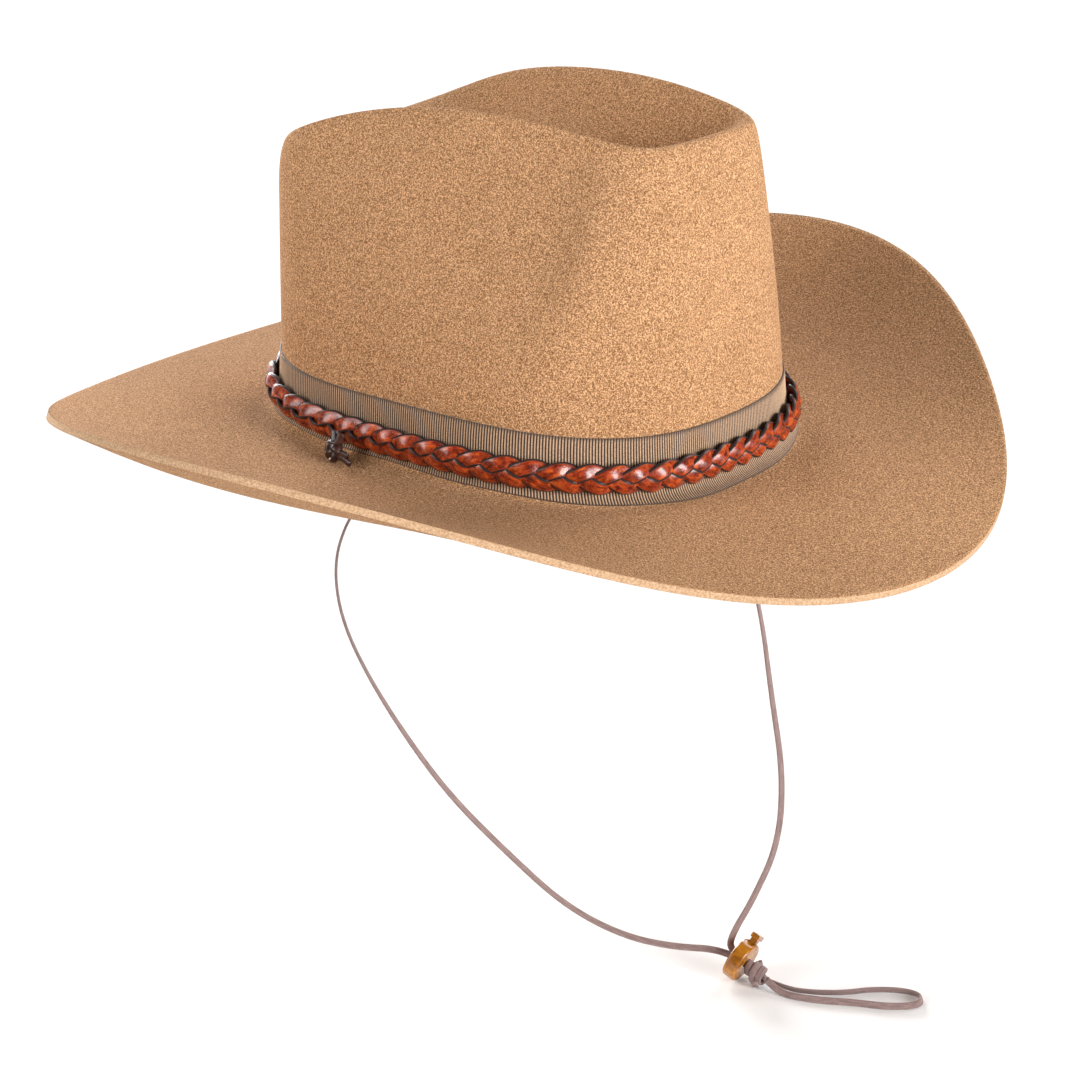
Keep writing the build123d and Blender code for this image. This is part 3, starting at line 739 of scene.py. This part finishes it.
# ---------------------------------------------------------------- ribbon
def rows_at(turn, start, rows, depth):
    """Points over the felt's outer face where the rows differ from turn to turn."""
    levels = np.linspace(FOOT_ROW - 0.2, FOOT_ROW + 3.2, 120)
    table = felt_face(turn, levels, depth)
    wanted = start[None, :] + rows[:, None] * (FOOT_ROW + RIBBON_TOP - start[None, :])
    place = (wanted - levels[0]) / (levels[1] - levels[0])
    low = np.clip(place.astype(int), 0, len(levels) - 2)
    share = (place - low)[..., None]
    column = np.arange(len(turn))[None, :]
    return table[low, column] * (1 - share) + table[low + 1, column] * share


def ribbon():
    """Ribbed ribbon with real ribs and a tight selvedge; its foot spreads on to the brim in front."""
    per_rib = 6
    around = turns(RIB_COUNT * per_rib)
    rib = 0.5 + 0.5 * np.cos(np.arange(len(around)) / per_rib * 2 * pi)
    front = np.maximum(0, -np.sin(around)) ** 1.5
    start = FOOT_ROW + mix(RIBBON_FOOT_SIDE, RIBBON_FOOT_FRONT, front)
    start = start + 0.06 * np.sin(around * 5 + 1) + 0.04 * np.sin(around * 11)
    share = np.linspace(0, 1, 26)
    selvedge = np.exp(-(share / 0.025) ** 2) + np.exp(-((1 - share) / 0.025) ** 2)
    surface = rows_at(around, start, share, 0.0)
    above = rows_at(around, start, share, -1.0) - surface
    proud = RIBBON_GAP + RIBBON_THICKNESS * 0.45
    proud = proud + RIB_PROUD * rib[None, :] * (1 - selvedge[:, None])
    proud = proud + SELVEDGE_PROUD * selvedge[:, None]
    outer = surface + above * proud[..., None]
    inner = surface[::-1] + above[::-1] * 0.05
    rings = np.concatenate([outer, inner])
    piece = grid("ribbon_band_cloth", rings, closed_rings=True)
    # Painted shade: the grooves between ribs, a band along both edges and the whole inner face take the
    # near-black colour.
    groove_shade = np.ones((len(rings), len(around)))
    shade = np.clip(1.35 * (1 - rib[None, :]) ** 1.1, 0, 1)
    groove_shade[:len(share)] = np.maximum(shade, 0.8 * selvedge[:, None])
    attribute(piece, "groove_shade", groove_shade)
    wear(piece, "ribbon")
    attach(piece, "hat")
    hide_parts("ribbon_band")


# ---------------------------------------------------------------- plait
def square_to(directions, tangent):
    """The directions made square to the tangents, of length one."""
    normal = directions - tangent * (directions * tangent).sum(1, keepdims=True)
    return normal / np.linalg.norm(normal, axis=1, keepdims=True)


def rolled(normal, across, angle):
    """Normals and their sideways directions turned about the path, in radians."""
    c, s = np.cos(angle)[:, None], np.sin(angle)[:, None]
    return normal * c + across * s, across * c - normal * s


def plait_strand(strand):
    """One flat lace of the plait: over at each crossing towards the middle, then under."""
    samples = BRAID_PERIODS * 40
    turn = turns(samples)
    phase = BRAID_PERIODS * turn + 2 * pi * strand / 3
    jitter = 0.12 * np.sin(turn * 7 + strand) + 0.1 * np.sin(turn * 13 + 2 * strand)
    height = BRAID_HEIGHT + (BRAID_SWING + jitter) * np.sin(phase)
    path = wall_point(turn, height, -BRAID_OUT - BRAID_WEAVE * np.sin(2 * phase))
    tangent = np.roll(path, -1, 0) - np.roll(path, 1, 0)
    tangent /= np.linalg.norm(tangent, axis=1, keepdims=True)
    outward = path * np.array([1, 1, 0])
    outward /= np.linalg.norm(outward, axis=1, keepdims=True)
    normal = square_to(outward, tangent)
    normal, across = rolled(normal, np.cross(normal, tangent), BRAID_ROLL * np.sin(phase))
    section = lens_section(BRAID_LACE_WIDTH, BRAID_LACE_THICKNESS, 20, 2.3)
    piece = strip_mesh(f"braid_strand_{strand + 1}_leather", path, across, normal, section, True)
    # Darkening across the lace towards its edges, read by the material: burnished edges and painted
    # shade between the lobes.
    edge = np.abs(section[:, 0]) / (BRAID_LACE_WIDTH / 2)
    burnish_and_gap_shade = np.clip(edge, 0, 1) ** 2.4
    attribute(piece, "burnish_and_gap_shade", np.tile(burnish_and_gap_shade, samples))
    wear(piece, "plait")
    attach(piece, "hat_band")
    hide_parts(f"braid_strand_{strand + 1}")


# ---------------------------------------------------------------- laces
def route_spline(name, route):
    """NURBS curve with the route's points, and the points read along it, in millimetres."""
    data = bpy.data.curves.new(name, "CURVE")
    data.dimensions = "3D"
    spline = data.splines.new("NURBS")
    spline.points.add(len(route) - 1)
    for point, place in zip(spline.points, route):
        point.co = (*[c * MM for c in place], 1)
    spline.order_u = 3
    spline.use_endpoint_u = True
    spline.resolution_u = 24
    holder = bpy.data.objects.new(name, data)
    bpy.context.scene.collection.objects.link(holder)
    bpy.context.view_layer.update()
    mesh = bpy.data.meshes.new_from_object(holder)
    found = np.array([v.co[:] for v in mesh.vertices]) / MM
    bpy.data.objects.remove(holder)
    bpy.data.meshes.remove(mesh)
    return found


def even(path, step):
    """The same line with evenly spaced points."""
    lengths = np.concatenate([[0], np.cumsum(np.linalg.norm(np.diff(path, axis=0), axis=1))])
    wanted = np.linspace(0, lengths[-1], max(8, int(lengths[-1] / step)))
    return np.stack([np.interp(wanted, lengths, path[:, k]) for k in range(3)], 1), lengths[-1]


def flat_lace(name, route, facing, twist):
    """Flat lace along a route, its broad face looking the way of facing.

    twist turns the face at the two ends, in degrees; most of the change is near the second end.
    """
    path, length = even(route_spline(name + "_route", route), LACE_STEP)
    tangent = np.gradient(path, axis=0)
    tangent /= np.linalg.norm(tangent, axis=1, keepdims=True)
    normal = square_to(np.broadcast_to(np.array(facing, float), path.shape), tangent)
    wander = 12 * np.sin(np.linspace(0, length / 38, len(path)))
    late = np.linspace(0, 1, len(path)) ** 4
    angle = np.radians(mix(twist[0], twist[1], late) + wander)
    normal, across = rolled(normal, np.cross(normal, tangent), angle)
    section = lens_section(LACE_WIDTH, LACE_THICKNESS, 12, 3.5)
    piece = strip_mesh(name, path, across, normal, section, False)
    wear(piece, "lace")
    return piece, path, length


def lock_frame():
    """Origin and axes of the cord lock, as in the CAD."""
    axis = np.array([0.08, -0.92, -0.383])
    axis /= np.linalg.norm(axis)
    press = np.array([0.62, -0.25, 0.74])
    press = press - axis * press.dot(axis)
    press /= np.linalg.norm(press)
    return np.array([50.7, -65.0, FLOOR + 9.4]), press, np.cross(axis, press), axis


def lock_point(press, across, along):
    """A point given in the lock's own axes."""
    origin, x, y, z = lock_frame()
    return tuple(origin + x * press + y * across + z * along)


def thong(name, path, width, thickness, inside, closed=False):
    """Flat thong along a short path, its broad face turned away from the point or line inside."""
    tangent = np.roll(path, -1, 0) - np.roll(path, 1, 0) if closed else np.gradient(path, axis=0)
    tangent /= np.linalg.norm(tangent, axis=1, keepdims=True)
    normal = square_to(path - inside, tangent)
    section = lens_section(width, thickness, 14, 2.8)
    return strip_mesh(name, path, np.cross(normal, tangent), normal, section, closed)


def joined(name, parts, material_name):
    """One object from several."""
    bpy.ops.object.select_all(action="DESELECT")
    for part in parts:
        part.select_set(True)
    bpy.context.view_layer.objects.active = parts[0]
    bpy.ops.object.join()
    piece = parts[0]
    piece.name = piece.data.name = name
    wear(piece, material_name)
    return piece


def middle_of(node):
    """Middle of a CAD node's box, in millimetres."""
    low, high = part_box(node)
    return (np.array(low) + np.array(high)) / 2 / MM


def plait_tie():
    """The plait's ends, tied in a dark knot below it, with straps up to the plait and three tails."""
    centre = middle_of("braid_knot")
    out = centre * np.array([1, 1, 0]) / np.hypot(*centre[:2])
    side = np.array([-out[1], out[0], 0])
    up = np.array([0, 0, 1.0])

    def place(x, y, z):
        return centre + np.outer(x + TIE_SHIFT, side) + np.outer(y, out) + np.outer(z, up)

    t = turns(120)
    ring = (2 + np.cos(3 * t)) * TIE_SIZE
    trefoil = place(ring * np.cos(2 * t), np.sin(3 * t) * TIE_SIZE * 0.9, ring * np.sin(2 * t))
    parts = [thong("tie_a", trefoil, *TIE_KNOT, centre, closed=True)]
    t = np.linspace(0, 1, 30)
    lift = 4.8 + 1.2 * t
    for lean_by in TIE_STRAP_LEANS:
        x = lean_by * t ** 0.8 + 0.4 * np.sin(3 * t)
        strap = place(x, 0.9 - 2.6 * t, 1.2 + lift * t)
        parts.append(thong("tie_b", strap, *TIE_STRAP, centre - out * 6))
    knot = joined("braid_knot_thong", parts, "dark_thong")
    tails = []
    for sign, reach, drop in TIE_TAILS:
        x = sign * (1.5 + reach * t)
        z = drop * (0.4 + 0.8 * t) - 0.9 * t ** 2
        tails.append(thong("tie_c", place(x, 0.8 - 0.8 * t, z), *TIE_TAIL, centre - out * 8))
    tail = joined("braid_tail_thong", tails, "dark_thong")
    for piece, node in ((knot, "braid_knot"), (tail, "braid_tail")):
        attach(piece, "hat_band")
        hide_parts(node)


def chin_knot():
    """Overhand knot: the doubled lace wrapped round itself below the lock."""
    def place(x, y, z):
        return np.array([lock_point(*p) for p in zip(x, y, z)])

    t = np.linspace(0, 1, 90)
    level = 0 * t
    turn = 2 * pi * 2.7 * t + 0.6
    swell = 2.9 + 0.5 * np.sin(pi * t)
    inside = place(level, level, 4.4 + 8.4 * t)
    wrap = place(swell * np.cos(turn), swell * np.sin(turn), KNOT_START + KNOT_LENGTH * t)
    over = 2 * pi * 0.55 * t + 2.4
    reach = 4.2 + 0.3 * np.sin(pi * t)
    bridge = place(reach * np.cos(over), reach * np.sin(over), 11.8 - 5.5 * t)
    fold = place(-3.0 - 2.0 * np.sin(pi * t) ** 0.8, 1.2 - 2.4 * t, 8.2 + 3.4 * np.sin(pi * t))
    parts = [thong("knot_a", wrap, 3.0, 1.2, inside), thong("knot_b", bridge, 2.8, 1.1, inside),
             thong("knot_d", fold, 3.0, 1.3, inside)]
    along = 3.4 + 10.6 * t
    for lane in (-LACE_LANE, LACE_LANE):
        core = place(level, level + lane, along)
        parts.append(thong("knot_c", core, 2.4, 1.8, place(level - 3, level + lane, along)))
    piece = joined("chin_knot_wraps", parts, "lace")
    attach(piece, "chin_strap")
    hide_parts("chin_knot")
    return piece


def stitches():
    """Sewing thread along the sweatband's lower edge."""
    count = STITCH_COUNT
    rings_each, sides = 7, 6
    arc = np.linspace(0, pi, rings_each)
    inset = SWEATBAND_INSET + SWEATBAND_THICKNESS - STITCH_SUNK + STITCH_BULGE * np.sin(arc)
    vertices, faces, uv = [], [], []
    for turn in turns(count):
        step = STITCH_SHARE * 2 * pi / count
        along = turn + step * (np.linspace(0, 1, rings_each) - 0.5)
        start = len(vertices)
        for k, centre in enumerate(wall_point(along, np.full(rings_each, STITCH_HEIGHT), inset)):
            out = centre * np.array([1, 1, 0]) / np.hypot(*centre[:2])
            for a in turns(sides):
                rise = np.array([0, 0, THREAD_RADIUS * np.sin(a)])
                vertices.append(centre + out * THREAD_RADIUS * np.cos(a) + rise)
            if k:
                low, high = start + (k - 1) * sides, start + k * sides
                for m in range(sides):
                    n = (m + 1) % sides
                    faces.append((low + m, low + n, high + n, high + m))
                    uv += [(0, 0)] * 4
    piece = new_object("sweatband_stitches", vertices, faces, uv)
    wear(piece, "thread")
    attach(piece, "hat")


def laces():
    """The chin lace's two sides and its end loop."""
    knot = chin_knot()
    for side, route, lane, twist in (("right", LACE_ROUTE_RIGHT, LACE_LANE, (78, 5)),
                                     ("left", LACE_ROUTE_LEFT, -LACE_LANE, (62, 0))):
        whole = route + [lock_point(0, lane, -7.0), lock_point(0, lane, 3.8)]
        piece, path, length = flat_lace(f"chin_lace_{side}_suede", whole, LACE_FACING, twist)
        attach(piece, "chin_strap")
        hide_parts(f"chin_lace_{side}")
    route = [lock_point(0, -LACE_LANE, 13.9)]
    route += [(x, y, FLOOR + LOOP_LIFT) for x, y in LOOP_ROUTE]
    route += [lock_point(0, LACE_LANE, 13.9)]
    piece, path, length = flat_lace("chin_loop_suede", route, (0, 0, 1), (60, 60))
    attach(piece, "chin_strap")
    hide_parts("chin_loop")


def carried_over():
    """CAD nodes that keep their shape get their materials."""
    for node, name in (("ribbon_join", "ribbon"), ("sweatband", "sweatband"), ("sweatband_reed", "reed"),
                       ("sweatband_bow", "bow"), ("lining_side", "lining"), ("lining_tip", "lining"),
                       ("lace_stop_right", "lace"), ("lace_stop_left", "lace"),
                       ("lock_body", "amber"), ("lock_plunger", "amber"), ("lock_spring", "steel")):
        wear(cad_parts[node], name)


camera()
stage()
felt_body()
ribbon()
for index in range(3):
    plait_strand(index)
plait_tie()
stitches()
laces()
carried_over()
